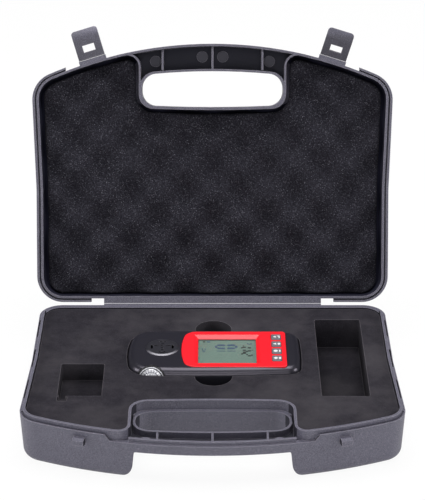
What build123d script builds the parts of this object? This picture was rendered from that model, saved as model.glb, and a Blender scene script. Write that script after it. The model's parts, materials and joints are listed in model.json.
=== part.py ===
"""Handheld gas detector in its open carrying case.

The case is a two-shell plastic clamshell with a carrying handle split between both shells, two
latches, a block of foam with pockets in the base and an egg-crate pad in the lid.  The detector
lies in its pocket, face up.  Sizes are in millimetres: +X right, +Y towards the hinge, +Z up.
The origin is the centre of the case's underside.  The lid is drawn closed and then swung open.
"""
import os
from math import asin, cos, degrees, radians, sin, sqrt, tan

from build123d import *

# ---------------------------------------------------------------- case: driving dimensions
CASE_DEPTH = 213.8          # hinge line to the front of the handle
HALF_WIDTH_REAR = 141.0     # half the case's width from the hinge to the knee
HALF_WIDTH_FRONT = 144.2    # half the case's width at the front corners
KNEE_S = 95.0               # distance from the hinge at which the sides start to flare
FRONT_CORNER_S = 175.0      # distance from the hinge at which the front width is measured
ARCH_RADIUS = 335.0         # front edge, seen from above
REAR_CORNER_R = 18.0
FRONT_CORNER_R = 19.5
BASE_HEIGHT = 37.0          # underside to parting edge
LID_HEIGHT = 19.8           # parting edge to the lid's outer face
DRAFT = 3.0                 # degrees, outer walls
EDGE_R = 7.0                # rounded outer edges of both shells
FLOOR = 2.2                 # base floor
LID_WALL = 1.9
LID_SKIN = 2.0
CAVITY_EDGE_R = 5.0         # rounded inner edge at the base's floor
RIM = 4.3                   # full width of the base's rim
LIP_SETBACK = 2.3           # outer face of the rim to outer face of the lip
LIP_HEIGHT = 3.0
RIM_GROOVE = 1.2            # width and depth of the groove between rim and lip
GROOVE_START_S = 160.0      # the groove runs round the front corners only
SLOT_WIDTH = 1.7            # lightening slots in the long rims
SLOT_DEPTH = 4.0
SLOT_SPANS = ((27.0, 55.0), (76.0, 104.0), (123.0, 152.0))
PARTING_GAP = 0.2           # between the shells when closed
LID_CLEARANCE = 0.4         # lid wall to base lip
REAR_SETBACK = 0.9          # base's rear face to the hinge line
LID_REAR_SETBACK = 5.0
SKIRT_OVERHANG = 3.4        # lid skirt beyond the lid's wall
SKIRT_WALL = 1.9
SKIRT_HEIGHT = 4.5
SKIRT_GROOVE = 3.0
SKIRT_FRONT_X = 120.0       # the skirt stops here beside the latches
SKIRT_REAR_X = 99.8         # and here beside the hinge

# ---------------------------------------------------------------- hinge and opening
HINGE_HALF = 89.4
HINGE_BEAD_R = 0.8
HINGE_RUNNING = 0.2
HINGE_STRIP = 1.5
OPEN_ANGLE = 111.1          # lid's swing from closed to its stop

# ---------------------------------------------------------------- handle, finger hole and bay
HANDLE_STEP = 5.0           # parting edge drops by this at the handle
STEP_X = 75.0
STEP_RUN = 3.6
HANDLE_BOTTOM = 24.5
HANDLE_TOP = 50.0
HANDLE_SKIN = 2.0
HOLE_HALF = 57.5
HOLE_FAR_S = 162.3
HOLE_NEAR_S = 191.6
HOLE_END_R = 11.8
HOLE_FAR_R = 1058.0
HOLE_NEAR_R = 525.0
RING_WALL = 1.7
RIB_X = (-40.6, 0.0, 40.6)
RIB_WALL = 1.5
CHANNEL_START_S = 168.0
NOTCH_HALF = 60.3           # compartment wall beside the handle, at the lip's handle side
NOTCH_FAR_S = 159.6
NOTCH_FAR_R = 12.0
NOTCH_FLARE_R = 9.0
LEAST_CORNER_R = 1.0
BAY_HALF = 57.5
BAY_OPEN_S = 176.0          # the bay is open to the front from here
BAY_SIDE_DRAFT = 6.0
BASE_BAY_EDGE_R = 14.0
FOOT_CORNER_S = 150.0
LID_BAY_EDGE_R = 4.0
BOSS_R = 4.5
BASE_BOSS_X = 49.5
BASE_BOSS_S = 200.5
LID_BOSSES = ((-46.6, 199.6), (-8.4, 203.4), (8.4, 203.4), (46.6, 199.6))
BOSS_RISE = 1.0

# ---------------------------------------------------------------- latches
LATCH_X = 97.4
LATCH_WIDTH = 21.8
LATCH_ROOT_WIDTH = 22.7
LATCH_STANDOFF = 3.8        # lid wall to the latch's hinge axis
LATCH_BEAD_R = 0.6
LATCH_PLATE = 1.5
LATCH_STRAIGHT = 16.0
LATCH_CURL_R = 11.0
LATCH_CURL = 42.0
WINDOW_WIDTH = 9.8
WINDOW_HEIGHT = 5.6
WINDOW_OFFSET = 8.0         # hinge axis to the window's centre
CATCH_PROUD = 5.0
CATCH_CLEARANCE = 0.3
LATCH_REST = (0.0, 26.0)    # left and right latch, degrees from the lid's plane

# ---------------------------------------------------------------- foam
FOAM_TOP = 36.8
FOAM_SPLIT = 7.4            # top of the bottom pad
FOAM_SIDE_GAP = 0.4
FOAM_REAR_S = 7.5
LEFT_POCKET = (-117.5, -84.0, 99.0, 148.0, 22.0)      # x0, x1, s0, s1, floor
RIGHT_POCKET = (82.7, 119.3, 26.0, 148.3, 11.0)
THUMB_NOTCH = (-117.5, -110.0, 148.0, 156.0, 33.5)
POCKET_CORNER_R = 1.5
FINGER_R = 14.5
FINGER_X = 0.8
FINGER_FAR_S = 42.5
FINGER_NEAR_S = 118.3
FINGER_FLOOR = 16.0
METER_FIT = 0.9             # meter to the walls of its pocket
METER_FLOOR_GAP = 0.3
LID_FOAM_FACE = 42.4
LID_FOAM_EDGE = 5.2
LID_FOAM_STEP = 6.6         # narrower layer against the lid's rounded edge
LID_FOAM_STEP_Z = 48.5

# ---------------------------------------------------------------- meter: driving dimensions
METER_LENGTH = 135.2
METER_WIDTH = 68.0
METER_THICKNESS = 31.0
METER_X = 1.3               # centre of the meter in the case
METER_S = 83.5
METER_FACE = 41.3           # height of its front face in the case
SIDE_BOW_R = 915.0
SIDE_BOW_U = -12.0
TOP_BOW_R = 120.0
TAIL_BOW_R = 400.0
TOP_CORNER_R = 17.0
TAIL_CORNER_R = 10.0
FACE_EDGE_R = 6.0
BACK_EDGE_R = 4.5
HOUSING_WALL = 2.0
SPLIT = 15.0
SEAL = 0.6
GRIP_R = 1.2
GRIP_US = tuple(20.0 + 4.6 * i for i in range(7))

BEZEL_U0, BEZEL_U1 = -25.7, 56.5
BEZEL_HALF = 28.3
BEZEL_DEPTH = 1.2
BEZEL_PROUD = 0.5
BEZEL_BOW_R = 100.0
BEZEL_TOP_R = 10.0
BEZEL_TAIL_R = 3.0
LCD_U0, LCD_U1 = -12.5, 33.0
LCD_HALF = 19.0
BEVEL_RUN_U = 3.0
BEVEL_RUN_V = 4.0
FRAME_BORDER = 2.0
WINDOW_THICK = 1.0
WINDOW_LAP = 1.6
LCD_THICK = 2.2
LCD_TERMINAL = 3.0
BACKLIGHT_THICK = 2.5
BOARD_TOP = 21.6
BOARD_THICK = 1.6
BOARD_GAP = 1.0
FIT = 0.25                  # running clearance round buttons and covers

BUTTON_U = 48.95
BUTTON_V0 = 18.5
BUTTON_PITCH = 11.4
BUTTON_COUNT = 4
BUTTON_LENGTH = 7.5
BUTTON_WIDTH = 8.8
BUTTON_PROUD = 0.5
BUTTON_TRAVEL = 0.6
BUTTON_FLANGE = 0.8
SWITCH = 6.0
SWITCH_HEIGHT = 3.5
SWITCH_PLUNGER = 0.7

GRILLE_U, GRILLE_V = -40.8, 2.8
GRILLE_R = 13.2
GRILLE_SEAT_R = 11.0
GRILLE_RIM = 0.8
GRILLE_DOME = 0.6
GRILLE_BEVEL = 1.6
GRILLE_SKIRT = 1.5
CELL_R = 10.0
CELL_HEIGHT = 16.6
CELL_TOP = 26.2
FILTER_THICK = 0.6

LAMP_U, LAMP_V, LAMP_W = -48.5, -33.2, 22.0
LAMP_R = 11.4
LAMP_WALL = 1.6
LAMP_TILT = 25.0            # degrees above horizontal
LAMP_TURN = 8.0             # degrees towards the top end
LAMP_GAP = 0.2
LAMP_DEPTH = 9.5            # reflector's back, behind the lamp's origin
REFLECTOR_WALL = 0.7
LAMP_CUT = -9.8             # how deep the lamp's opening reaches into the walls

CELL_COUNT = 3
AAA_R = 5.2
AAA_LENGTH = 44.0
AAA_PITCH = 11.2
AAA_AXIS = 8.0
BAY_U0, BAY_U1 = 5.0, 56.0
TRAY_WALL = 1.5
COVER_THICK = 2.0
LEDGE_THICK = 1.6
CONTACT = 0.5

SCREW_PLACES = ((-57.0, 22.0), (-24.0, -28.0), (60.0, 23.0), (60.0, -23.0))
BOARD_SCREW_PLACES = ((-22.0, 26.0), (59.5, 0.0), (-20.0, -22.0))

# ---------------------------------------------------------------- derived values
HINGE_Y = CASE_DEPTH / 2
HINGE_Z = BASE_HEIGHT + PARTING_GAP / 2
LID_EDGE = BASE_HEIGHT + PARTING_GAP
LID_TOP = LID_EDGE + LID_HEIGHT
LID_INSIDE = LID_TOP - LID_SKIN
HANDLE_PARTING = BASE_HEIGHT - HANDLE_STEP
HINGE = Axis((0, HINGE_Y, HINGE_Z), (1, 0, 0))
ARCH_CENTRE_Y = HINGE_Y - (CASE_DEPTH - ARCH_RADIUS)
LID_GROW = LID_CLEARANCE
FLARE = (HALF_WIDTH_FRONT - HALF_WIDTH_REAR) / (FRONT_CORNER_S - KNEE_S)
LATCH_TURN = degrees(asin(LATCH_X / ARCH_RADIUS))
CELL_BOTTOM = CELL_TOP - CELL_HEIGHT


def at_s(s):
    """Y of a line that is s in front of the hinge."""
    return HINGE_Y - s


def prism(plan, low, high, taper=0.0):
    """Upright solid of a plan, from one height to another, narrowing upwards by taper degrees."""
    return extrude(Pos(0, 0, low) * plan, high - low, dir=(0, 0, 1), taper=taper)


def sunk_prism(plan, high, low, taper=0.0):
    """Solid that hangs from a plan at the higher level and narrows downwards by taper degrees."""
    return extrude(Pos(0, 0, high) * plan, high - low, dir=(0, 0, -1), taper=taper)


def block(x0, x1, y0, y1, z0, z1):
    """Upright box between two corners."""
    centre = ((x0 + x1) / 2, (y0 + y1) / 2, (z0 + z1) / 2)
    return Pos(*centre) * Box(x1 - x0, y1 - y0, z1 - z0)


def cylinder(x, y, z0, z1, radius):
    """Upright cylinder."""
    return Pos(x, y, (z0 + z1) / 2) * Cylinder(radius, z1 - z0)


def round_corners(plan, places, radius):
    """Fillet the plan's vertices that lie nearest the given places."""
    corners = [plan.vertices().sort_by_distance((x, y, 0))[0] for x, y in places]
    return fillet(corners, radius)


# ---------------------------------------------------------------- case plans
def case_plan(side=0.0, rear=REAR_SETBACK, front=0.0):
    """Outline of a shell, inset at its sides and front, with its rear face at rear."""
    reach = CASE_DEPTH + 5
    half_rear = HALF_WIDTH_REAR - side
    half_reach = half_rear + FLARE * (reach - KNEE_S)
    right = [(half_rear, at_s(rear)), (half_rear, at_s(KNEE_S)), (half_reach, at_s(reach))]
    left = [(-x, y) for x, y in reversed(right)]
    arch = Pos(0, ARCH_CENTRE_Y) * Circle(ARCH_RADIUS - front)
    plan = Polygon(*right, *left, align=None) & arch
    front_x = HALF_WIDTH_FRONT - side
    rear_places = [(half_rear, at_s(rear)), (-half_rear, at_s(rear))]
    front_places = [(front_x, at_s(FRONT_CORNER_S + 12)), (-front_x, at_s(FRONT_CORNER_S + 12))]
    plan = round_corners(plan, rear_places, REAR_CORNER_R - side)
    return round_corners(plan, front_places, FRONT_CORNER_R - (side + front) / 2)


def bowed_notch(half, far_s):
    """Handle zone: a slot open to the front whose far edge is slightly bowed."""
    far = Pos(0, at_s(far_s) - HOLE_FAR_R) * Circle(HOLE_FAR_R)
    sides = Pos(0, at_s(far_s + 50)) * Rectangle(2 * half, 120)
    return sides & far


def compartment(grow=0.0, rear=FOAM_REAR_S):
    """Compartment behind and beside the handle, grown outwards from the outer face of the lip."""
    inset = LIP_SETBACK - grow
    half = NOTCH_HALF - grow
    far_s = NOTCH_FAR_S + grow
    plan = case_plan(inset, rear, inset) - bowed_notch(half, far_s)
    sag = HOLE_FAR_R - sqrt(HOLE_FAR_R ** 2 - half ** 2)
    far_places = [(half, at_s(far_s + sag)), (-half, at_s(far_s + sag))]
    near_y = ARCH_CENTRE_Y - sqrt((ARCH_RADIUS - inset) ** 2 - half ** 2)
    near_places = [(half, near_y), (-half, near_y)]
    plan = round_corners(plan, far_places, NOTCH_FAR_R - grow)
    return round_corners(plan, near_places, max(NOTCH_FLARE_R + grow, LEAST_CORNER_R))


def finger_hole(grow=0.0):
    """Finger hole with bowed long edges and rounded ends."""
    half = HOLE_HALF + grow
    far_s = HOLE_FAR_S - grow
    near_s = HOLE_NEAR_S + grow
    far = Pos(0, at_s(far_s) - HOLE_FAR_R) * Circle(HOLE_FAR_R)
    near = Pos(0, at_s(near_s) + HOLE_NEAR_R) * Circle(HOLE_NEAR_R)
    plan = Pos(0, at_s((far_s + near_s) / 2)) * Rectangle(2 * half, 60) & far & near
    return fillet(plan.vertices(), HOLE_END_R + grow * 0.7)


def ribs():
    """Plan of the stiffening ribs across the handle."""
    y0, y1 = at_s(CASE_DEPTH), at_s(HOLE_NEAR_S + RING_WALL / 2)
    plan = Sketch()
    for x in RIB_X:
        plan += Pos(x, (y0 + y1) / 2) * Rectangle(RIB_WALL, y1 - y0)
    return plan


def step_zone(low, high, widen=0.0):
    """Prism over the handle whose flared ends follow the stepped parting edge."""
    slope = STEP_RUN / HANDLE_STEP
    x_low = STEP_X + (low - HANDLE_PARTING) * slope + widen
    x_high = STEP_X + (high - HANDLE_PARTING) * slope + widen
    profile = Polygon((-x_low, low), (x_low, low), (x_high, high), (-x_high, high), align=None)
    y_mid = at_s(CASE_DEPTH - 22)
    return extrude(Plane.XZ.offset(-y_mid) * profile, 35, both=True)


def bay(low, high, corner_r):
    """Finger bay beyond the handle: the finger hole's outline, drafted, and open to the front."""
    rise = high - low
    toward = 1 if rise > 0 else -1
    slot = extrude(finger_hole(), abs(rise), dir=(0, 0, toward), taper=-BAY_SIDE_DRAFT)
    slot = Pos(0, 0, low) * slot
    side = BAY_HALF + abs(rise) * tan(radians(BAY_SIDE_DRAFT))
    wide = side + 30
    beyond = high + 5 * toward
    profile = Polygon((-BAY_HALF, low), (BAY_HALF, low), (side, high), (wide, high),
                      (wide, beyond), (-wide, beyond), (-wide, high), (-side, high), align=None)
    profile = round_corners(profile, [(side, high), (-side, high)], corner_r)
    front = extrude(Plane.XZ.offset(-at_s(BAY_OPEN_S)) * profile, 80, dir=(0, -1, 0))
    return slot + front

def foot_corner(side, reach):
    """Low corner of the tub beside the finger bay, outside this reach from its rounding's centre."""
    edge = BAY_HALF + HANDLE_BOTTOM * tan(radians(BAY_SIDE_DRAFT))
    x, z = side * (edge + BASE_BAY_EDGE_R), BASE_BAY_EDGE_R
    low_x, high_x = sorted((side * (edge - 2), x))
    corner = Pos((low_x + high_x) / 2, z / 2) * Rectangle(high_x - low_x, z)
    corner -= Pos(x, z) * Circle(reach)
    y_mid = at_s((FOOT_CORNER_S + CASE_DEPTH) / 2)
    return extrude(Plane.XZ.offset(-y_mid) * corner, (CASE_DEPTH - FOOT_CORNER_S) / 2, both=True)

def make_base_shell():
    """Base: tapered tub with rim, lip, finger bay, split handle and catches."""
    body = sunk_prism(case_plan(), BASE_HEIGHT, 0, DRAFT)
    body = fillet(body.faces().sort_by(Axis.Z)[0].edges(), EDGE_R)
    body -= bay(HANDLE_BOTTOM, 0, BASE_BAY_EDGE_R)
    lip_plan = compartment()
    body += prism(lip_plan, BASE_HEIGHT - 1, BASE_HEIGHT + LIP_HEIGHT)
    over_handle = step_zone(HANDLE_PARTING, BASE_HEIGHT + LIP_HEIGHT + 3)
    body -= over_handle - prism(lip_plan, 0, 60)
    body += make_handle_lip()
    body -= prism(finger_hole(), HANDLE_BOTTOM - 5, 60)
    body -= make_base_channel()
    for x in (-BASE_BOSS_X, BASE_BOSS_X):
        body += cylinder(x, at_s(BASE_BOSS_S), HANDLE_BOTTOM + 1, HANDLE_PARTING - 2, BOSS_R)
    cavity = prism(compartment(LIP_SETBACK - RIM, REAR_SETBACK + RIM), FLOOR, 60)
    cavity = fillet(cavity.faces().sort_by(Axis.Z)[0].edges(), CAVITY_EDGE_R)
    for side in (-1, 1):
        cavity -= foot_corner(side, BASE_BAY_EDGE_R - FLOOR)
    body -= cavity
    body -= make_rim_cuts()
    for side in (-1, 1):
        body += make_catch(side)
    return body


def make_handle_lip(clearance=0.0):
    """Lip along the front of the handle, or the room that the lid leaves for it."""
    outside = LIP_SETBACK - clearance
    inside = RIM + clearance
    band = case_plan(outside, 2, outside) - case_plan(inside, 4, inside)
    half = NOTCH_HALF + 1 + clearance
    window = Pos(0, at_s(CASE_DEPTH - 10)) * Rectangle(2 * half, 40)
    return prism(band & window, HANDLE_PARTING - 1, HANDLE_PARTING + LIP_HEIGHT + clearance)


def make_base_channel():
    """Hollow of the lower handle half, between ring, ribs and front wall."""
    inside = case_plan(RIM, 4, RIM) - compartment()
    front = Pos(0, at_s(CHANNEL_START_S + 40)) * Rectangle(400, 80)
    plan = (inside & front) - finger_hole(RING_WALL) - ribs()
    cut = prism(plan, HANDLE_BOTTOM + HANDLE_SKIN, 60)
    lip_relief = prism(ribs(), HANDLE_PARTING, 60) & prism(case_plan(RIM, 4, RIM), 20, 60)
    return cut + lip_relief


def make_rim_cuts():
    """Groove between rim and lip, and the lightening slots in the long rims."""
    groove_low = LIP_SETBACK - RIM_GROOVE
    groove = case_plan(groove_low, 2, groove_low) - case_plan(LIP_SETBACK, 4, LIP_SETBACK)
    groove -= Pos(0, at_s(GROOVE_START_S / 2)) * Rectangle(400, GROOVE_START_S + 20)
    cuts = prism(groove, BASE_HEIGHT - RIM_GROOVE, BASE_HEIGHT + 5)
    slot_out = LIP_SETBACK - SLOT_WIDTH - 0.1
    slot_in = LIP_SETBACK - 0.1
    band = case_plan(slot_out, 2, slot_out) - case_plan(slot_in, 4, slot_in)
    for s0, s1 in SLOT_SPANS:
        window = Pos(0, at_s((s0 + s1) / 2)) * Rectangle(400, s1 - s0)
        cuts += prism(band & window, BASE_HEIGHT - SLOT_DEPTH, BASE_HEIGHT + 5)
    return cuts


def on_arch(side):
    """Frame on the front arch at a latch: X along the edge, Y outwards reversed, Z up."""
    turn = side * LATCH_TURN
    x = side * LATCH_X
    y = ARCH_CENTRE_Y - sqrt(ARCH_RADIUS ** 2 - LATCH_X ** 2)
    return Location((x, y, 0), (0, 0, turn))


def make_catch(side):
    """Catch that a latch's window drops over, with a sloped top."""
    axis_z = LID_EDGE + LATCH_PLATE / 2
    middle = axis_z - WINDOW_OFFSET
    half_h = WINDOW_HEIGHT / 2 - CATCH_CLEARANCE
    half_w = WINDOW_WIDTH / 2 - 2 * CATCH_CLEARANCE
    root = 3.0
    profile = Polygon((root, middle - half_h), (-CATCH_PROUD, middle - half_h),
                      (-CATCH_PROUD, middle + half_h - 1.2), (-CATCH_PROUD + 1.6, middle + half_h),
                      (root, middle + half_h), align=None)
    tooth = extrude(Plane.YZ * profile, half_w, both=True)
    return on_arch(side) * tooth


def make_hinge_web():
    """Living hinge: a bead on the hinge line and its tail to the base's rear face."""
    bead = Pos(0, HINGE_Y, HINGE_Z) * Rot(0, 90, 0) * Cylinder(HINGE_BEAD_R, 2 * HINGE_HALF)
    tail = block(-HINGE_HALF, HINGE_HALF, at_s(REAR_SETBACK), HINGE_Y,
                 BASE_HEIGHT - HINGE_BEAD_R, BASE_HEIGHT)
    return bead + tail


def make_lid_closed():
    """Lid in its closed place: skirted shell with the upper handle half and latch roots."""
    plan = case_plan(0, LID_REAR_SETBACK, 0)
    body = prism(plan, LID_EDGE, LID_TOP, DRAFT)
    body = fillet(body.faces().sort_by(Axis.Z)[-1].edges(), EDGE_R)
    body -= bay(HANDLE_TOP, LID_TOP, LID_BAY_EDGE_R)
    cavity = prism(compartment(LID_GROW, LID_REAR_SETBACK + LID_WALL), LID_EDGE, LID_INSIDE, DRAFT)
    cavity = fillet(cavity.faces().sort_by(Axis.Z)[-1].edges(), EDGE_R - LID_SKIN)
    body -= cavity
    drop_plan = plan - compartment(LID_GROW)
    drop = prism(drop_plan, HANDLE_PARTING + PARTING_GAP, LID_EDGE)
    body += drop & step_zone(HANDLE_PARTING + PARTING_GAP, LID_EDGE)
    channel = case_plan(LID_WALL, 8, LID_WALL) - compartment(LID_GROW + RIB_WALL)
    channel = channel - finger_hole(RING_WALL) - ribs()
    body -= prism(channel, 20, HANDLE_TOP - HANDLE_SKIN)
    body -= prism(finger_hole(), 20, 60)
    body -= make_handle_lip(LID_CLEARANCE)
    for x, s in LID_BOSSES:
        low = HANDLE_TOP - HANDLE_SKIN - BOSS_RISE
        body += cylinder(x, at_s(s), low, HANDLE_TOP - 1, BOSS_R)
    body += make_skirt()
    body += make_hinge_flange()
    for side in (-1, 1):
        body += make_latch_root(side)
    return body


def make_skirt():
    """Overhanging double edge round the lid's sides and corners."""
    outer = case_plan(-SKIRT_OVERHANG, LID_REAR_SETBACK - 3.0, -SKIRT_OVERHANG + 0.6)
    inner = case_plan(0.6, LID_REAR_SETBACK + 0.6, 0.6)
    keep = outer - inner
    keep -= Pos(0, at_s(CASE_DEPTH)) * Rectangle(2 * SKIRT_FRONT_X, 60)
    keep -= Pos(0, at_s(0)) * Rectangle(2 * SKIRT_REAR_X, 20)
    band = SKIRT_OVERHANG - SKIRT_WALL
    groove = case_plan(-band, LID_REAR_SETBACK - 1.4, -band + 0.3)
    groove -= case_plan(0, LID_REAR_SETBACK, 0)
    skirt = prism(keep, LID_EDGE, LID_EDGE + SKIRT_HEIGHT)
    return skirt - prism(groove, LID_EDGE - 1, LID_EDGE + SKIRT_GROOVE)


def make_hinge_flange():
    """Strip that joins the lid's rear wall to the hinge line."""
    near = HINGE_BEAD_R + HINGE_RUNNING
    return block(-HINGE_HALF, HINGE_HALF, at_s(LID_REAR_SETBACK + 1), at_s(near),
                 LID_EDGE, LID_EDGE + HINGE_STRIP)


def make_latch_root(side):
    """Flange on the lid that a latch hinges from."""
    end = LATCH_STANDOFF - LATCH_BEAD_R - HINGE_RUNNING
    root = block(-LATCH_ROOT_WIDTH / 2, LATCH_ROOT_WIDTH / 2, -end, 1.2,
                 LID_EDGE, LID_EDGE + LATCH_PLATE)
    return on_arch(side) * root


def make_latch_closed_lid(side, tilt):
    """Latch on the closed lid, tilted down from the lid's plane by tilt degrees."""
    half = LATCH_WIDTH / 2
    bead = Rot(0, 90, 0) * Cylinder(LATCH_BEAD_R, LATCH_WIDTH)
    low = -LATCH_PLATE / 2
    high = LATCH_PLATE / 2
    turn = radians(LATCH_CURL)
    straight = LATCH_STRAIGHT
    inner = LATCH_CURL_R - LATCH_PLATE / 2
    outer = LATCH_CURL_R + LATCH_PLATE / 2
    centre = (-straight, LATCH_CURL_R)
    mid = turn / 2
    inner_mid = (centre[0] - inner * sin(mid), centre[1] - inner * cos(mid))
    outer_mid = (centre[0] - outer * sin(mid), centre[1] - outer * cos(mid))
    inner_end = (centre[0] - inner * sin(turn), centre[1] - inner * cos(turn))
    outer_end = (centre[0] - outer * sin(turn), centre[1] - outer * cos(turn))
    edge = [Line((0, low), (-straight, low)),
            ThreePointArc((-straight, low), outer_mid, outer_end),
            Line(outer_end, inner_end),
            ThreePointArc(inner_end, inner_mid, (-straight, high)),
            Line((-straight, high), (0, high)),
            Line((0, high), (0, low))]
    profile = make_face(edge)
    plate = extrude(Plane.YZ * profile, half, both=True)
    far = plate.edges().filter_by(Axis.Z, tolerance=60).sort_by(Axis.Y)[:2]
    plate = fillet(far, 3.0)
    window = block(-WINDOW_WIDTH / 2, WINDOW_WIDTH / 2, -WINDOW_OFFSET - WINDOW_HEIGHT / 2,
                   -WINDOW_OFFSET + WINDOW_HEIGHT / 2, -3, 3)
    latch = bead + plate - window
    latch = Rot(tilt, 0, 0) * latch
    axis_z = LID_EDGE + LATCH_PLATE / 2
    return on_arch(side) * (Pos(0, -LATCH_STANDOFF, axis_z) * latch)


def open_lid(shape):
    """Swing a closed-lid shape to the lid's stop."""
    return shape.rotate(HINGE, -OPEN_ANGLE)


def meter_pocket(low, high):
    """Pocket with the meter's outline and fit."""
    plan = Pos(METER_X, at_s(METER_S)) * meter_plan(-METER_FIT)
    return prism(plan, low, high)


def pocket(place, top):
    """Rectangular pocket with small corner radii, cut from top down to its floor."""
    x0, x1, s0, s1, floor = place
    plan = Pos((x0 + x1) / 2, at_s((s0 + s1) / 2)) * RectangleRounded(x1 - x0, s1 - s0,
                                                                     POCKET_CORNER_R)
    return prism(plan, floor, top)


def make_foam_insert():
    """Foam block with the pockets, finger recesses and the meter's bed."""
    plan = compartment(LIP_SETBACK - RIM - FOAM_SIDE_GAP)
    foam = prism(plan, FOAM_SPLIT, FOAM_TOP)
    top = FOAM_TOP + 1
    foam -= meter_pocket(METER_FACE - METER_THICKNESS - METER_FLOOR_GAP, top)
    foam -= pocket(LEFT_POCKET, top)
    foam -= pocket(RIGHT_POCKET, top)
    foam -= pocket(THUMB_NOTCH, top)
    for s in (FINGER_FAR_S, FINGER_NEAR_S):
        foam -= cylinder(FINGER_X, at_s(s), FINGER_FLOOR, top, FINGER_R)
    for side in (-1, 1):
        foam -= foot_corner(side, BASE_BAY_EDGE_R - FLOOR - FOAM_SIDE_GAP)
    return foam


def make_foam_bottom_pad():
    """Thin pad under the foam block."""
    grow = LIP_SETBACK - RIM - FOAM_SIDE_GAP - CAVITY_EDGE_R - 0.2
    pad = prism(compartment(grow, FOAM_REAR_S + CAVITY_EDGE_R), FLOOR, FOAM_SPLIT)
    for side in (-1, 1):
        pad -= foot_corner(side, BASE_BAY_EDGE_R - FLOOR - FOAM_SIDE_GAP)
    return pad


def make_lid_foam_closed():
    """Lid pad in its closed place: full outline below, stepped in at the lid's rounded edge."""
    grow = LIP_SETBACK - LID_FOAM_EDGE
    rear = LID_REAR_SETBACK + LID_WALL + 1.6
    face = prism(compartment(grow, rear), LID_FOAM_FACE, LID_FOAM_STEP_Z)
    back_plan = compartment(grow - LID_FOAM_STEP, rear + LID_FOAM_STEP)
    return face + prism(back_plan, LID_FOAM_STEP_Z, LID_INSIDE)


# ---------------------------------------------------------------- meter, in its own frame
# U along its length (tail positive), V across, W up from its back; its centre is at U = V = 0.
def meter_plan(inset=0.0):
    """Outline of the meter: bowed sides, rounded top end and squarer tail."""
    half_l = METER_LENGTH / 2 - inset
    half_w = METER_WIDTH / 2 - inset
    plan = Rectangle(2 * half_l, 2 * half_w)
    for side in (-1, 1):
        plan &= Pos(SIDE_BOW_U, side * (half_w - SIDE_BOW_R)) * Circle(SIDE_BOW_R)
    plan &= Pos(TOP_BOW_R - half_l, 0) * Circle(TOP_BOW_R)
    plan &= Pos(half_l - TAIL_BOW_R, 0) * Circle(TAIL_BOW_R)
    top = [(-half_l, half_w), (-half_l, -half_w)]
    tail = [(half_l, half_w), (half_l, -half_w)]
    plan = round_corners(plan, top, TOP_CORNER_R - inset)
    return round_corners(plan, tail, TAIL_CORNER_R - inset)


def bezel_plan(inset=0.0):
    """Outline of the red face plate: bowed end towards the grille."""
    half = BEZEL_HALF - inset
    u0 = BEZEL_U0 + inset
    u1 = BEZEL_U1 - inset
    plan = Pos((u0 + u1) / 2, 0) * Rectangle(u1 - u0, 2 * half)
    plan &= Pos(u0 + BEZEL_BOW_R, 0) * Circle(BEZEL_BOW_R)
    plan = round_corners(plan, [(u0, half), (u0, -half)], BEZEL_TOP_R)
    return round_corners(plan, [(u1, half), (u1, -half)], BEZEL_TAIL_R)


def button_vs():
    """V of each button."""
    return [BUTTON_V0 - BUTTON_PITCH * i for i in range(BUTTON_COUNT)]


def button_plan(grow=0.0):
    """Outline of one button key."""
    return RectangleRounded(BUTTON_LENGTH + 2 * grow, BUTTON_WIDTH + 2 * grow, 1.3 + grow)


def window_plan(border_u, border_v):
    """Rectangle round the visible display area."""
    u_mid = (LCD_U0 + LCD_U1) / 2
    return Pos(u_mid, 0) * Rectangle(LCD_U1 - LCD_U0 + 2 * border_u, 2 * (LCD_HALF + border_v))


def lamp_frame():
    """Frame of the lamp: its Z points out of the housing's corner."""
    tilt = radians(LAMP_TILT)
    turn = radians(LAMP_TURN)
    direction = Vector(-cos(tilt) * sin(turn), -cos(tilt) * cos(turn), sin(tilt))
    return Plane(origin=(LAMP_U, LAMP_V, LAMP_W), z_dir=direction)


def lamp_barrel(radius, low, high):
    """Round bar along the lamp's axis."""
    bar = Pos(0, 0, (low + high) / 2) * Cylinder(radius, high - low)
    return lamp_frame() * bar


def meter_body(inset=0.0):
    """Solid of the whole meter without its ridges, shrunk by inset."""
    body = prism(meter_plan(inset), inset, METER_THICKNESS - inset)
    body = fillet(body.faces().sort_by(Axis.Z)[-1].edges(), FACE_EDGE_R - inset)
    return fillet(body.faces().sort_by(Axis.Z)[0].edges(), BACK_EDGE_R - inset)


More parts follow.
